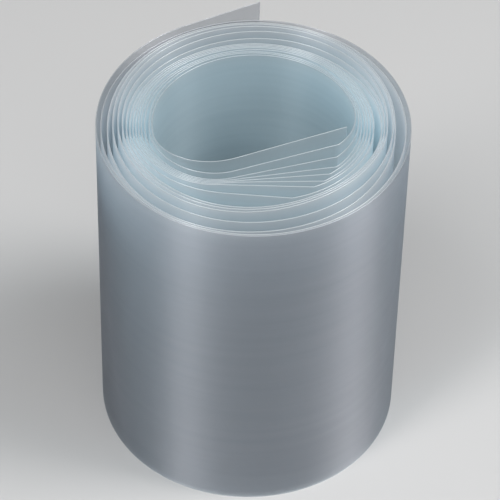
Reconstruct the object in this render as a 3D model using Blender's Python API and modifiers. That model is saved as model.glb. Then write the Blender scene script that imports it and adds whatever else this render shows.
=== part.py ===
"""A heat shrink tube: one length of flat clear tube, wound up loosely and stood on its edge.

The film is one band that runs along a path seen from above. Azimuths on the path are in
degrees, clockwise as the winding runs: 0 is right (+X), 90 front (-Y), 180 left, 270 back.
"""

from math import cos, radians, sin

import bmesh
import bpy

MM = 0.001

# The tube as it is sold, pressed flat
FLAT_WIDTH = 70 * MM
WALL = 0.1 * MM
BAND = 2 * WALL  # both walls, lying on each other

BORE_RADIUS = 18 * MM
INNER_END = 1  # azimuth of the free end in the bore

# The clear air under each turn, at each sixth of a turn. For the first turn it is how far the
# film lies outside the bore's circle.
TIGHT_AIR = (
    (0.00 * MM, 0.00 * MM, 0.05 * MM, 0.20 * MM, 0.15 * MM, 0.50 * MM),
    (0.30 * MM, 0.30 * MM, 0.35 * MM, 0.30 * MM, 0.50 * MM, 0.20 * MM),
    (0.15 * MM, 0.20 * MM, 0.40 * MM, 0.60 * MM, 0.15 * MM, 0.20 * MM),
    (0.15 * MM, 0.30 * MM, 0.35 * MM, 0.40 * MM, 0.15 * MM, 0.60 * MM),
    (0.30 * MM, 0.30 * MM, 0.30 * MM, 0.30 * MM, 0.50 * MM, 0.20 * MM),
    (0.30 * MM, 0.30 * MM, 0.30 * MM, 0.30 * MM, 0.15 * MM, 0.20 * MM),
    (0.40 * MM, 0.30 * MM, 0.30 * MM, 0.30 * MM, 0.20 * MM, 0.20 * MM),
    (0.40 * MM, 0.40 * MM, 0.35 * MM, 0.35 * MM, 0.15 * MM, 0.20 * MM),
)
LOOSE_AIR = (
    (1.15 * MM, -0.75 * MM, -0.1 * MM, 0.45 * MM, 0.95 * MM, 1.45 * MM),
    (0.3 * MM, 0.2 * MM, 0.4 * MM, 0.5 * MM, 1.6 * MM, 1.7 * MM),
    (0.3 * MM, 0.3 * MM, 0.6 * MM, 0.6 * MM, 1.3 * MM, 1.0 * MM),
    (0.8 * MM, 2.5 * MM, 1.9 * MM, 0.7 * MM, 0.6 * MM, 0.3 * MM),
    (0.2 * MM, 1.9 * MM, 2.0 * MM, 0.7 * MM, 0.2 * MM, 0.2 * MM),
    (1.7 * MM, 0.9 * MM, 0.2 * MM, 1.0 * MM, 0.3 * MM, 0.8 * MM),
    (0.7 * MM, 0.2 * MM, 0.2 * MM, 0.7 * MM, 1.4 * MM, 1.4 * MM),
)

# Each tight turn leaves its circle in front of the bore and crosses it as a flat leaf. For each
# leaf, from the free end on: the clear air behind it, the azimuth that it faces, and that of
# the corner where it starts. The first leaf's air is its distance from the axis.
LEAVES = (
    (7.0 * MM, 66, INNER_END),
    (3.0 * MM, 68, 18),
    (1.9 * MM, 72, 29),
    (1.0 * MM, 78, 36),
    (0.6 * MM, 82, 43),
    (0.5 * MM, 87, 49),
    (0.7 * MM, 90, 56),
    (2.2 * MM, 94, 70),
)
BEND_BEFORE_CORNER = 20  # degrees before azimuth 0 where the film starts to turn in
FLAT_UNTIL = 105
BACK_ON_CIRCLE = 170

LEAST_AIR = 0.15 * MM  # between any turn and the one inside it

# The outer free end, straight on from the roll
TAIL_AZIMUTH = 242
TAIL_LENGTH = 16.1 * MM

POINTS_A_TURN = 40  # where the film is round

FULL = 360
SIXTH = FULL // 6


def turn_radii():
    """The radius at each sixth of a turn, from one turn before the film's inner end."""
    radii = 6 * [BORE_RADIUS - BAND / 2]
    for turn in TIGHT_AIR + LOOSE_AIR:
        for air in turn:
            radii.append(radii[-6] + BAND + air)
    return radii


def circle(angle):
    """A smooth curve through the turns' radii, after this much winding."""
    radii = turn_radii()
    place = (angle + FULL) / SIXTH
    i = min(int(place), len(radii) - 3)
    t = place - i
    a, b, c, d = radii[i - 1 : i + 3]
    turn_in = (c - a) / 2
    turn_out = (d - b) / 2
    return hermite(t, b, turn_in, c, turn_out)


def hermite(t, start, start_slope, end, end_slope):
    """A cubic from start to end, for t from 0 to 1."""
    rise = t * t * (3 - 2 * t)
    return (
        start * (1 - rise)
        + end * rise
        + start_slope * t * (1 - t) ** 2
        - end_slope * t * t * (1 - t)
    )


def leaf_offset(turn):
    """How far this turn's flat leaf lies from the axis."""
    return sum(air for air, _, _ in LEAVES[: turn + 1]) + BAND * turn


def leaf_radius(turn, azimuth):
    return leaf_offset(turn) / cos(radians(azimuth - LEAVES[turn][1]))


def tight(turn, azimuth):
    """A tight turn's radius: in to the corner, flat, out again, and round."""
    _, _, corner = LEAVES[turn]
    if azimuth < corner:
        start = circle(FULL * turn - BEND_BEFORE_CORNER)
        t = (azimuth + BEND_BEFORE_CORNER) / (corner + BEND_BEFORE_CORNER)
        return start + (leaf_radius(turn, corner) - start) * t * t
    if azimuth <= FLAT_UNTIL:
        return leaf_radius(turn, azimuth)
    if azimuth < BACK_ON_CIRCLE:
        span = BACK_ON_CIRCLE - FLAT_UNTIL
        leaving = leaf_radius(turn, FLAT_UNTIL + 0.5) - leaf_radius(turn, FLAT_UNTIL - 0.5)
        back = FULL * turn + BACK_ON_CIRCLE
        joining = circle(back + 0.5) - circle(back - 0.5)
        return hermite(
            (azimuth - FLAT_UNTIL) / span,
            leaf_radius(turn, FLAT_UNTIL),
            leaving * span,
            circle(back),
            joining * span,
        )
    return circle(FULL * turn + azimuth)


def radius(angle):
    """The film's distance from the axis, never too near the turn inside it."""
    turn = int((angle + BEND_BEFORE_CORNER) // FULL)
    azimuth = angle - FULL * turn
    last_tight = len(LEAVES) - 1
    if turn < last_tight or (turn == last_tight and azimuth < 5 * SIXTH):
        far = tight(turn, azimuth)
    else:
        far = circle(angle)
    if angle < FULL + INNER_END:
        return far
    return max(far, radius(angle - FULL) + BAND + LEAST_AIR)


def winding_angles():
    """Where the path has its points: closely where it bends, and none inside a flat leaf."""
    end = FULL * (len(LEAVES) + len(LOOSE_AIR) - 1) + TAIL_AZIMUTH
    step = FULL / POINTS_A_TURN
    angles = {step * i for i in range(int(end / step) + 1)} | {end}
    for turn, (_, _, corner) in enumerate(LEAVES):
        first = FULL * turn + corner
        last = FULL * turn + FLAT_UNTIL
        angles = {angle for angle in angles if not first <= angle <= last} | {first, last}
    return sorted(angle for angle in angles if angle >= INNER_END)


def film_path():
    """The middle of the band, as points (x, y) seen from above."""
    points = []
    for angle in winding_angles():
        far = radius(angle)
        points.append((far * cos(radians(angle)), -far * sin(radians(angle))))
    x, y = points[-1]
    tail = radians(TAIL_AZIMUTH)
    points.append((x - TAIL_LENGTH * sin(tail), y - TAIL_LENGTH * cos(tail)))
    return points


def clear_film():
    material = bpy.data.materials.new("clear_film")
    material.use_nodes = True
    shader = material.node_tree.nodes["Principled BSDF"]
    shader.inputs["Base Color"].default_value = (0.62, 0.71, 0.76, 1)
    shader.inputs["Roughness"].default_value = 0.25
    shader.inputs["Alpha"].default_value = 0.55
    return material


def centred_on_its_feet(mesh):
    """Puts the origin under the middle of the box round the mesh."""
    spans = [[v.co[axis] for v in mesh.vertices] for axis in range(3)]
    low = [min(span) for span in spans]
    high = [max(span) for span in spans]
    for v in mesh.vertices:
        v.co.x -= (low[0] + high[0]) / 2
        v.co.y -= (low[1] + high[1]) / 2
        v.co.z -= low[2]


def wound_tube(collection):
    """The path as a curve, extruded to the flat width and thickened to both walls."""
    curve = bpy.data.curves.new("film_path", "CURVE")
    curve.dimensions = "2D"
    curve.fill_mode = "NONE"
    curve.extrude = FLAT_WIDTH / 2
    points = film_path()
    spline = curve.splines.new("POLY")
    spline.points.add(len(points) - 1)
    for point, (x, y) in zip(spline.points, points):
        point.co = (x, y, 0, 1)
    guide = bpy.data.objects.new("film_path", curve)
    collection.objects.link(guide)
    thicken = guide.modifiers.new("both_walls", "SOLIDIFY")
    thicken.thickness = BAND
    thicken.offset = 0
    thicken.use_even_offset = True
    graph = bpy.context.evaluated_depsgraph_get()
    mesh = bpy.data.meshes.new_from_object(guide.evaluated_get(graph))
    bpy.data.objects.remove(guide)
    mesh.name = "heat_shrink_tube"
    joined = bmesh.new()
    joined.from_mesh(mesh)
    bmesh.ops.remove_doubles(joined, verts=joined.verts, dist=WALL / 100)
    bmesh.ops.recalc_face_normals(joined, faces=joined.faces)
    joined.to_mesh(mesh)
    joined.free()
    centred_on_its_feet(mesh)
    mesh.shade_smooth()
    mesh.set_sharp_from_angle(angle=radians(15))
    mesh.materials.clear()
    mesh.materials.append(clear_film())
    tube = bpy.data.objects.new("heat_shrink_tube", mesh)
    collection.objects.link(tube)
    return tube


def main():
    for obj in list(bpy.data.objects):
        bpy.data.objects.remove(obj)
    collection = bpy.data.collections.new("heat_shrink_tube")
    bpy.context.scene.collection.children.link(collection)
    wound_tube(collection)


main()
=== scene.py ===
"""The looks of the heat shrink tube: satin see-through film, wound up and stood on its edge.

Azimuths on the film's path are in degrees, clockwise as the winding runs: 0 is right (+X),
90 front (-Y), 180 left, 270 back. Lengths are in metres.
"""

from math import cos, pi, radians, sin

import bpy
from mathutils import Matrix, Vector

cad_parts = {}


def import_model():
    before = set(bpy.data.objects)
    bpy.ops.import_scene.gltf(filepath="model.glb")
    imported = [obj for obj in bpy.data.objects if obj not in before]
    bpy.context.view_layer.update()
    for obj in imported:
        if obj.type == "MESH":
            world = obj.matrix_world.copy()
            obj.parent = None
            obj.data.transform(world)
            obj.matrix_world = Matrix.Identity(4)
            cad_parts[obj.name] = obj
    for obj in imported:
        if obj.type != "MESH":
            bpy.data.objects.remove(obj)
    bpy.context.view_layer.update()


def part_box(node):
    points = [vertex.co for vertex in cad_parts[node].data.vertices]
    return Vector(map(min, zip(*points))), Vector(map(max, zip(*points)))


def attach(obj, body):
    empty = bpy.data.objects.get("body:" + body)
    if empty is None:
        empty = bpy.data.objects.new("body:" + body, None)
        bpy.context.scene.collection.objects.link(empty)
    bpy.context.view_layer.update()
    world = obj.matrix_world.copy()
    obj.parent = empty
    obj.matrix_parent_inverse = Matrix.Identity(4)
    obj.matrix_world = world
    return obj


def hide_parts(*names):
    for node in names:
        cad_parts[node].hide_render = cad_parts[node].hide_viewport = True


MM = 0.001
NODE = "heat_shrink_tube"
UV_NAME = "along_and_up"

# The tube and its winding, as the solid has them
FLAT_WIDTH = 70 * MM
WALL = 0.1 * MM
BAND = 2 * WALL  # both walls, lying on each other
BORE_RADIUS = 18 * MM
INNER_END = 1  # azimuth of the free end in the bore

# The clear air under each turn, at each sixth of a turn. For the first turn it is how far the
# film lies outside the bore's circle.
TIGHT_AIR = (
    (0.00 * MM, 0.00 * MM, 0.05 * MM, 0.20 * MM, 0.15 * MM, 0.50 * MM),
    (0.30 * MM, 0.30 * MM, 0.35 * MM, 0.30 * MM, 0.50 * MM, 0.20 * MM),
    (0.15 * MM, 0.20 * MM, 0.40 * MM, 0.60 * MM, 0.15 * MM, 0.20 * MM),
    (0.15 * MM, 0.30 * MM, 0.35 * MM, 0.40 * MM, 0.15 * MM, 0.60 * MM),
    (0.30 * MM, 0.30 * MM, 0.30 * MM, 0.30 * MM, 0.50 * MM, 0.20 * MM),
    (0.30 * MM, 0.30 * MM, 0.30 * MM, 0.30 * MM, 0.15 * MM, 0.20 * MM),
    (0.40 * MM, 0.30 * MM, 0.30 * MM, 0.30 * MM, 0.20 * MM, 0.20 * MM),
    (0.40 * MM, 0.40 * MM, 0.35 * MM, 0.35 * MM, 0.15 * MM, 0.20 * MM),
)
LOOSE_AIR = (
    (1.15 * MM, -0.75 * MM, -0.1 * MM, 0.45 * MM, 0.95 * MM, 1.45 * MM),
    (0.3 * MM, 0.2 * MM, 0.4 * MM, 0.5 * MM, 1.6 * MM, 1.7 * MM),
    (0.3 * MM, 0.3 * MM, 0.6 * MM, 0.6 * MM, 1.3 * MM, 1.0 * MM),
    (0.8 * MM, 2.5 * MM, 1.9 * MM, 0.7 * MM, 0.6 * MM, 0.3 * MM),
    (0.2 * MM, 1.9 * MM, 2.0 * MM, 0.7 * MM, 0.2 * MM, 0.2 * MM),
    (1.7 * MM, 0.9 * MM, 0.2 * MM, 1.0 * MM, 0.3 * MM, 0.8 * MM),
    (0.7 * MM, 0.2 * MM, 0.2 * MM, 0.7 * MM, 1.4 * MM, 1.4 * MM),
)

# Each tight turn leaves its circle in front of the bore and crosses it as a flat leaf. For each
# leaf, from the free end on: the clear air behind it, the azimuth that it faces, and that of
# the corner where it starts. The first leaf's air is its distance from the axis.
LEAVES = (
    (7.0 * MM, 66, INNER_END),
    (3.0 * MM, 68, 18),
    (1.9 * MM, 72, 29),
    (1.0 * MM, 78, 36),
    (0.6 * MM, 82, 43),
    (0.5 * MM, 87, 49),
    (0.7 * MM, 90, 56),
    (2.2 * MM, 94, 70),
)
BEND_BEFORE_CORNER = 20  # degrees before azimuth 0 where the film starts to turn in
FLAT_UNTIL = 105
BACK_ON_CIRCLE = 170

LEAST_AIR = 0.15 * MM  # between any turn and the one inside it

# The outer free end, straight on from the roll
TAIL_AZIMUTH = 242
TAIL_LENGTH = 16.1 * MM

FULL = 360
SIXTH = FULL // 6

# How finely the film is drawn
STEP = 2  # degrees between two points
TAIL_SPANS = 12
FOLD_POINTS = 5  # on the half circle of a folded edge
LEAST_MITRE = 0.5  # keeps the outer side of a sharp corner from running far out
SHARP_FROM = 50  # degrees between two faces

# How the film's look changes from the turns round the bore to the outermost one: one film in
# painted light and shade, lighter and bluer round the bore for the light that scatters in
# there, and darker and greyer on the outermost turn
INNER_UNTIL = 0.9  # metres along the film, from the end in the bore
OUTER_FROM = 1.84
INNER_FACE = (0.71, 0.80, 0.84, 1)
OUTER_FACE = (0.57, 0.55, 0.575, 1)
INNER_GLOW = (0.57, 0.68, 0.725, 1)  # the light that comes through from behind
OUTER_GLOW = (0.72, 0.81, 0.87, 1)
INNER_METALLIC = 0.1
OUTER_METALLIC = 0.75

# Its satin surface, with faint streaks along it
FINE_STREAKS = (40, 2000, 1)  # grains a metre along the film and up it, and their detail
BROAD_STREAKS = (25, 600, 2)
STREAK_COLOUR = (0.78, 0.79, 0.80, 1)
BUMP_STRENGTH = 0.12
BUMP_HEIGHT = 0.02 * MM
ROUGHNESS = (0.64, 0.72)
SPECULAR = 0.7
QUARTER_TURN = 0.25  # of the long highlights, so that they run up the film

# How its surface, its glow and what is behind it share the view
GLOW_SHARE = 0.45
SEEN_THROUGH = 0.72  # of what is behind a surface, looking straight through it
LEAST_STRAIGHT = 0.2  # beyond this slant the film grows no milkier
LEAST_MILKY = 0.36
FILM_CLEAR = (0.98, 0.994, 0.998, 1)
FILM_LETS_BY = (0.87, 0.885, 0.89, 1)  # what each surface lets through to light what is behind

# Painted light at the upper edge: a lighter colour and glow for the light that comes in between
# the turns, but not on the outermost one
PAINTED_LIGHT_COLOUR = (0.79, 0.82, 0.845, 1)
LIT_DEPTH = 6 * MM  # how far down it shows
LIT_FADE = 3  # the power by which it fades
LIT_LEAST = 0.2
LIT_LEAST_UNTIL = 0.2  # metres along the film
LIT_FULL_FROM = 1.2
LIT_ENDS_BEFORE = 0.06  # the outermost turn
LIT_MILKY = 0.05
LIT_METALLIC = 0.3  # what is left of the metallic look
LIT_LETS_BY = (0.97, 0.98, 0.985, 1)
LIT_LETS_BY_DEPTH = 13 * MM  # how far down it lets more through

# The folded edges: a whiter colour, painted for the light caught in the folds, with a gloss for
# their highlights
EDGE_COLOUR = (0.80, 0.84, 0.87, 1)
EDGE_METALLIC = 0.35
EDGE_ROUGHNESS = 0.26
EDGE_SHARE = 0.4
EDGE_FULL = BAND / 4  # how far from the edge it still shows fully
EDGE_DEPTH = 0.1 * MM

FLOOR_COLOUR = (0.62, 0.62, 0.62, 1)
FLOOR_ROUGHNESS = 0.8
FLOOR_REACH = 4

# The camera, from the photograph
CAMERA_LENS = 208.2
CAMERA_SENSOR = 36
CAMERA_DISTANCE = 540 * MM
CAMERA_ELEVATION = 45.42
CAMERA_ROLL = 1.4
LOOK_AT = Vector((-0.2 * MM, 0, 37.7 * MM))  # from the roll's axis, at its foot

# Each softbox: azimuth (0 is behind the camera, 90 to its right), elevation, distance, width,
# height and watts
SOFTBOXES = {
    "left_softbox": (-46, 50, 0.9, 0.2, 0.6, 3.9),
    "right_softbox": (84, 50, 0.9, 0.3, 0.6, 5.3),
    "front_softbox": (15, 62, 1.0, 0.8, 0.8, 3.2),
}
WORLD_COLOUR = (0.95, 0.98, 1, 1)
WORLD_STRENGTH = 0.06


def turn_radii():
    """The radius at each sixth of a turn, from one turn before the film's inner end."""
    radii = 6 * [BORE_RADIUS - BAND / 2]
    for turn in TIGHT_AIR + LOOSE_AIR:
        for air in turn:
            radii.append(radii[-6] + BAND + air)
    return radii


def circle(angle):
    """A smooth curve through the turns' radii, after this much winding."""
    radii = turn_radii()
    place = (angle + FULL) / SIXTH
    i = min(int(place), len(radii) - 3)
    t = place - i
    a, b, c, d = radii[i - 1 : i + 3]
    turn_in = (c - a) / 2
    turn_out = (d - b) / 2
    return hermite(t, b, turn_in, c, turn_out)


def hermite(t, start, start_slope, end, end_slope):
    """A cubic from start to end, for t from 0 to 1."""
    rise = t * t * (3 - 2 * t)
    return (
        start * (1 - rise)
        + end * rise
        + start_slope * t * (1 - t) ** 2
        - end_slope * t * t * (1 - t)
    )


def leaf_radius(turn, azimuth):
    """The distance from the axis of a point on this turn's flat leaf."""
    offset = sum(air for air, _, _ in LEAVES[: turn + 1]) + BAND * turn
    return offset / cos(radians(azimuth - LEAVES[turn][1]))


def tight(turn, azimuth):
    """A tight turn's radius: in to the corner, flat, out again, and round."""
    _, _, corner = LEAVES[turn]
    if azimuth < corner:
        start = circle(FULL * turn - BEND_BEFORE_CORNER)
        t = (azimuth + BEND_BEFORE_CORNER) / (corner + BEND_BEFORE_CORNER)
        return start + (leaf_radius(turn, corner) - start) * t * t
    if azimuth <= FLAT_UNTIL:
        return leaf_radius(turn, azimuth)
    if azimuth < BACK_ON_CIRCLE:
        span = BACK_ON_CIRCLE - FLAT_UNTIL
        leaving = leaf_radius(turn, FLAT_UNTIL + 0.5) - leaf_radius(turn, FLAT_UNTIL - 0.5)
        back = FULL * turn + BACK_ON_CIRCLE
        joining = circle(back + 0.5) - circle(back - 0.5)
        return hermite(
            (azimuth - FLAT_UNTIL) / span,
            leaf_radius(turn, FLAT_UNTIL),
            leaving * span,
            circle(back),
            joining * span,
        )
    return circle(FULL * turn + azimuth)


def radius(angle):
    """The film's distance from the axis, never too near the turn inside it."""
    turn = int((angle + BEND_BEFORE_CORNER) // FULL)
    azimuth = angle - FULL * turn
    last_tight = len(LEAVES) - 1
    if turn < last_tight or (turn == last_tight and azimuth < 5 * SIXTH):
        far = tight(turn, azimuth)
    else:
        far = circle(angle)
    if angle < FULL + INNER_END:
        return far
    return max(far, radius(angle - FULL) + BAND + LEAST_AIR)


def winding_angles():
    """Where the path has its points: at every step, at the leaves' corners and at the ends."""
    end = FULL * (len(LEAVES) + len(LOOSE_AIR) - 1) + TAIL_AZIMUTH
    corners = {FULL * turn + corner for turn, (_, _, corner) in enumerate(LEAVES)}
    angles = set(range(0, end, STEP)) | corners | {end}
    return sorted(angle for angle in angles if angle >= INNER_END)


def film_path():
    """The middle of the band seen from above, from the end in the bore to the outer end."""
    points = []
    for angle in winding_angles():
        turned = radians(angle)
        points.append(radius(angle) * Vector((cos(turned), -sin(turned))))
    tail = radians(TAIL_AZIMUTH)
    onward = Vector((-sin(tail), -cos(tail)))
    start = points[-1]
    for i in range(TAIL_SPANS):
        points.append(start + onward * TAIL_LENGTH * (i + 1) / TAIL_SPANS)
    return points


def sideways(points):
    """At each point of the path, the step that moves it out by one, square to the film."""
    steps = []
    for i, point in enumerate(points):
        before = (point - points[max(i - 1, 0)]).normalized()
        after = (points[min(i + 1, len(points) - 1)] - point).normalized()
        along = ((before or after) + (after or before)).normalized()
        out = Vector((-along.y, along.x))
        reference = before if before.length else after
        mitre = abs(out.dot(Vector((-reference.y, reference.x))))
        steps.append(out / max(mitre, LEAST_MITRE))
    return steps


def film_low_corner():
    """The least x and y that the film reaches, seen from the roll's axis."""
    points = film_path()
    sides = []
    for point, out in zip(points, sideways(points)):
        sides += [point + out * BAND / 2, point - out * BAND / 2]
    return Vector((min(side.x for side in sides), min(side.y for side in sides), 0))


def film_section(width):
    """The pressed tube's outline: two flat walls, joined by a round fold at each edge."""
    half = BAND / 2
    top = []
    bottom = []
    for i in range(FOLD_POINTS):
        turn = pi * i / (FOLD_POINTS - 1)
        top.append((half * cos(turn), width - half + half * sin(turn)))
        bottom.append((-half * cos(turn), half - half * sin(turn)))
    return top + bottom


def film_mesh(axis, low, high):
    """Sweeps the section along the path, with the way along the film and up it as its UVs.

    The fine path bulges a little past the solid's chords, and is held inside its box.
    """
    points = film_path()
    section = film_section(high[2] - low[2])
    count = len(section)
    verts = []
    run = [0.0]
    for i, (point, out) in enumerate(zip(points, sideways(points))):
        if i:
            run.append(run[-1] + (point - points[i - 1]).length)
        for side, height in section:
            at = point + out * side
            x = min(max(at.x + axis.x, low[0]), high[0])
            y = min(max(at.y + axis.y, low[1]), high[1])
            verts.append((x, y, low[2] + height))
    faces = []
    for i in range(len(points) - 1):
        here = i * count
        there = here + count
        for j in range(count):
            k = (j + 1) % count
            faces.append((here + j, here + k, there + k, there + j))
    last = (len(points) - 1) * count
    faces.append(tuple(reversed(range(count))))
    faces.append(tuple(range(last, last + count)))
    mesh = bpy.data.meshes.new("wound_film")
    mesh.from_pydata(verts, [], faces)
    layer = mesh.uv_layers.new(name=UV_NAME)
    for loop in mesh.loops:
        vertex = loop.vertex_index
        layer.data[loop.index].uv = (run[vertex // count], verts[vertex][2])
    mesh.validate()
    mesh.shade_smooth()
    mesh.set_sharp_from_angle(angle=radians(SHARP_FROM))
    return mesh


class Nodes:
    """Adds nodes to a material. Each input is a plain value or another node's output."""

    def __init__(self, tree):
        self.tree = tree

    def add(self, kind, inputs, **settings):
        node = self.tree.nodes.new(kind)
        for name, value in settings.items():
            setattr(node, name, value)
        for name, value in inputs.items():
            if isinstance(value, bpy.types.NodeSocket):
                self.tree.links.new(value, node.inputs[name])
            else:
                node.inputs[name].default_value = value
        return node

    def math(self, operation, first, second=0):
        node = self.add("ShaderNodeMath", {0: first, 1: second}, operation=operation)
        return node.outputs["Value"]

    def spread(self, value, low, high, start=0, end=1):
        """Goes from low to high while the value goes from start to end."""
        ends = {"From Min": start, "From Max": end, "To Min": low, "To Max": high}
        return self.add("ShaderNodeMapRange", {"Value": value, **ends}).outputs["Result"]

    def blended(self, factor, first, second, way="MIX"):
        colours = {"Factor": factor, "A": first, "B": second}
        node = self.add("ShaderNodeMix", colours, data_type="RGBA", blend_type=way)
        return node.outputs["Result"]

    def mixed(self, share, first, second):
        shaders = {"Fac": share, 1: first, 2: second}
        return self.add("ShaderNodeMixShader", shaders).outputs["Shader"]

    def streaks(self, uv, along, up, detail):
        """Noise drawn out along the film, with this many grains a metre each way."""
        drawn_out = self.add("ShaderNodeMapping", {"Vector": uv, "Scale": (along, up, 1)})
        place = drawn_out.outputs["Vector"]
        noise = self.add("ShaderNodeTexNoise", {"Vector": place, "Scale": 1, "Detail": detail})
        return noise.outputs["Fac"]


def painted_light_strength(nodes, along, up):
    """How strongly the light that comes in between the turns is painted onto the film."""
    fading = nodes.spread(up, 1, 0, FLAT_WIDTH, FLAT_WIDTH - LIT_DEPTH)
    fading = nodes.math("POWER", fading, LIT_FADE)
    rising = nodes.spread(along, LIT_LEAST, 1, LIT_LEAST_UNTIL, LIT_FULL_FROM)
    ending = nodes.spread(along, 1, 0, OUTER_FROM - LIT_ENDS_BEFORE, OUTER_FROM)
    return nodes.math("MULTIPLY", nodes.math("MULTIPLY", fading, rising), ending)


def satin_face(nodes, uv, outwards, lit):
    """The film's own surface, with faint streaks along it."""
    fine = nodes.streaks(uv, *FINE_STREAKS)
    broad = nodes.streaks(uv, *BROAD_STREAKS)
    # painted light and shade: lighter and bluer round the bore, darker and greyer on the
    # outermost turn
    colour = nodes.blended(outwards, INNER_FACE, OUTER_FACE)
    streaked = nodes.blended(broad, colour, STREAK_COLOUR, way="MULTIPLY")
    metallic = nodes.spread(outwards, INNER_METALLIC, OUTER_METALLIC)
    bump = {"Height": fine, "Strength": BUMP_STRENGTH, "Distance": BUMP_HEIGHT}
    tangent = nodes.add("ShaderNodeTangent", {}, direction_type="UV_MAP", uv_map=UV_NAME)
    look = {
        # painted light: a lighter colour near the upper edge
        "Base Color": nodes.blended(lit, streaked, PAINTED_LIGHT_COLOUR),
        "Metallic": nodes.math("MULTIPLY", metallic, nodes.spread(lit, 1, LIT_METALLIC)),
        "Roughness": nodes.spread(fine, *ROUGHNESS),
        "Specular IOR Level": SPECULAR,
        "Anisotropic": 1,
        "Anisotropic Rotation": QUARTER_TURN,
        "Normal": nodes.add("ShaderNodeBump", bump).outputs["Normal"],
        "Tangent": tangent.outputs["Tangent"],
    }
    return nodes.add("ShaderNodeBsdfPrincipled", look).outputs["BSDF"]


def glow(nodes, outwards, lit):
    """The light that falls through from the film's other side."""
    # painted light and shade in the glow's colour, from the bore outwards
    colour = nodes.blended(outwards, INNER_GLOW, OUTER_GLOW)
    # painted light in the glow too, near the upper edge
    colour = nodes.blended(lit, colour, PAINTED_LIGHT_COLOUR)
    return nodes.add("ShaderNodeBsdfTranslucent", {"Color": colour}).outputs["BSDF"]


def milkiness(nodes, lit):
    """How much of the view the film takes, against what is behind it: more at a slant.

    At a blend of a half, the node's Facing is 1 less the cosine of the slant.
    """
    slant = nodes.add("ShaderNodeLayerWeight", {"Blend": 0.5}).outputs["Facing"]
    straight = nodes.math("MAXIMUM", nodes.math("SUBTRACT", 1, slant), LEAST_STRAIGHT)
    seen_through = nodes.math("POWER", SEEN_THROUGH, nodes.math("DIVIDE", 1, straight))
    milky = nodes.math("MAXIMUM", nodes.math("SUBTRACT", 1, seen_through), LEAST_MILKY)
    # a little milkier where light is painted near the upper edge
    return nodes.math("ADD", milky, nodes.math("MULTIPLY", lit, LIT_MILKY))


def edge_glow_share(nodes, up):
    """How much of the view the edge's painted white glow takes: only a thin line at the top and
    bottom.
    """
    from_middle = nodes.math("ABSOLUTE", nodes.math("SUBTRACT", up, FLAT_WIDTH / 2))
    from_edge = nodes.math("SUBTRACT", FLAT_WIDTH / 2, from_middle)
    return nodes.spread(from_edge, EDGE_SHARE, 0, EDGE_FULL, EDGE_DEPTH)


def film_material():
    """Satin film that shows what is behind it, with white light painted into its folded edges
    and near its upper edge.
    """
    material = bpy.data.materials.new("satin_film")
    material.use_nodes = True
    material.node_tree.nodes.clear()
    nodes = Nodes(material.node_tree)
    uv = nodes.add("ShaderNodeUVMap", {}, uv_map=UV_NAME).outputs["UV"]
    split = nodes.add("ShaderNodeSeparateXYZ", {"Vector": uv})
    along = split.outputs["X"]
    up = split.outputs["Y"]
    # 0 round the bore to 1 on the outermost turn, for the painted light and shade
    outwards = nodes.spread(along, 0, 1, INNER_UNTIL, OUTER_FROM)
    # where light is painted near the upper edge
    lit = painted_light_strength(nodes, along, up)
    face = satin_face(nodes, uv, outwards, lit)
    body = nodes.mixed(GLOW_SHARE, face, glow(nodes, outwards, lit))
    clear = nodes.add("ShaderNodeBsdfTransparent", {"Color": FILM_CLEAR}).outputs["BSDF"]
    film = nodes.mixed(milkiness(nodes, lit), clear, body)
    edge_look = {
        "Base Color": EDGE_COLOUR,
        "Metallic": EDGE_METALLIC,
        "Roughness": EDGE_ROUGHNESS,
    }
    edge = nodes.add("ShaderNodeBsdfPrincipled", edge_look).outputs["BSDF"]
    # the folded edges' painted white glow
    seen = nodes.mixed(edge_glow_share(nodes, up), film, edge)
    passing = nodes.spread(up, 1, 0, FLAT_WIDTH, FLAT_WIDTH - LIT_LETS_BY_DEPTH)
    tint = nodes.blended(passing, FILM_LETS_BY, LIT_LETS_BY)
    lets_by = nodes.add("ShaderNodeBsdfTransparent", {"Color": tint}).outputs["BSDF"]
    shadow_ray = nodes.add("ShaderNodeLightPath", {}).outputs["Is Shadow Ray"]
    nodes.add("ShaderNodeOutputMaterial", {"Surface": nodes.mixed(shadow_ray, seen, lets_by)})
    return material


def floor_material():
    material = bpy.data.materials.new("pale_floor")
    material.use_nodes = True
    shader = material.node_tree.nodes["Principled BSDF"]
    shader.inputs["Base Color"].default_value = FLOOR_COLOUR
    shader.inputs["Roughness"].default_value = FLOOR_ROUGHNESS
    return material


def add_floor():
    far = FLOOR_REACH
    mesh = bpy.data.meshes.new("floor")
    corners = [(-far, -far, 0), (far, -far, 0), (far, far, 0), (-far, far, 0)]
    mesh.from_pydata(corners, [], [(0, 1, 2, 3)])
    mesh.materials.append(floor_material())
    floor = bpy.data.objects.new("floor", mesh)
    bpy.context.collection.objects.link(floor)


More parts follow.
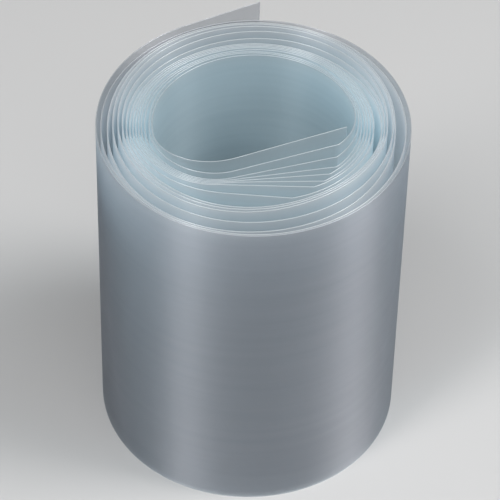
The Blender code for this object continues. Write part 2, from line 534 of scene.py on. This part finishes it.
def add_camera(axis):
    tilt = radians(CAMERA_ELEVATION)
    roll = radians(CAMERA_ROLL)
    ahead = Vector((0, cos(tilt), -sin(tilt)))
    right = Vector((1, 0, 0))
    up = right.cross(ahead)
    rolled_right = cos(roll) * right + sin(roll) * up
    rolled_up = cos(roll) * up - sin(roll) * right
    place = axis + LOOK_AT - ahead * CAMERA_DISTANCE
    data = bpy.data.cameras.new("camera")
    data.lens = CAMERA_LENS
    data.sensor_width = CAMERA_SENSOR
    camera = bpy.data.objects.new("camera", data)
    turned = Matrix((rolled_right, rolled_up, -ahead)).transposed().to_4x4()
    camera.matrix_world = Matrix.Translation(place) @ turned
    bpy.context.collection.objects.link(camera)
    bpy.context.scene.camera = camera


def add_softbox(name, target):
    azimuth, elevation, distance, width, height, power = SOFTBOXES[name]
    around = radians(azimuth)
    lift = radians(elevation)
    away = Vector((sin(around) * cos(lift), -cos(around) * cos(lift), sin(lift)))
    data = bpy.data.lights.new(name, "AREA")
    data.shape = "RECTANGLE"
    data.size = width
    data.size_y = height
    data.energy = power
    lamp = bpy.data.objects.new(name, data)
    lamp.location = target + away * distance
    lamp.rotation_euler = away.to_track_quat("Z", "Y").to_euler()
    bpy.context.collection.objects.link(lamp)


def light_the_scene(target):
    for name in SOFTBOXES:
        add_softbox(name, target)
    world = bpy.data.worlds.new("studio")
    world.use_nodes = True
    background = world.node_tree.nodes["Background"]
    background.inputs["Color"].default_value = WORLD_COLOUR
    background.inputs["Strength"].default_value = WORLD_STRENGTH
    bpy.context.scene.world = world


def set_light_paths():
    """Enough steps to look through one side of the roll, and few between its surfaces."""
    cycles = bpy.context.scene.cycles
    cycles.transparent_max_bounces = 32
    cycles.max_bounces = 4
    cycles.diffuse_bounces = 4
    cycles.glossy_bounces = 3
    cycles.transmission_bounces = 4


def main():
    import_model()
    low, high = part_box(NODE)
    axis = Vector(low) - film_low_corner()
    film = bpy.data.objects.new("wound_film", film_mesh(axis, low, high))
    film.data.materials.append(film_material())
    bpy.context.collection.objects.link(film)
    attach(film, "root")
    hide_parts(NODE)
    add_floor()
    add_camera(axis)
    light_the_scene(axis + LOOK_AT)
    set_light_paths()
    bpy.context.scene.view_settings.view_transform = "Standard"


main()
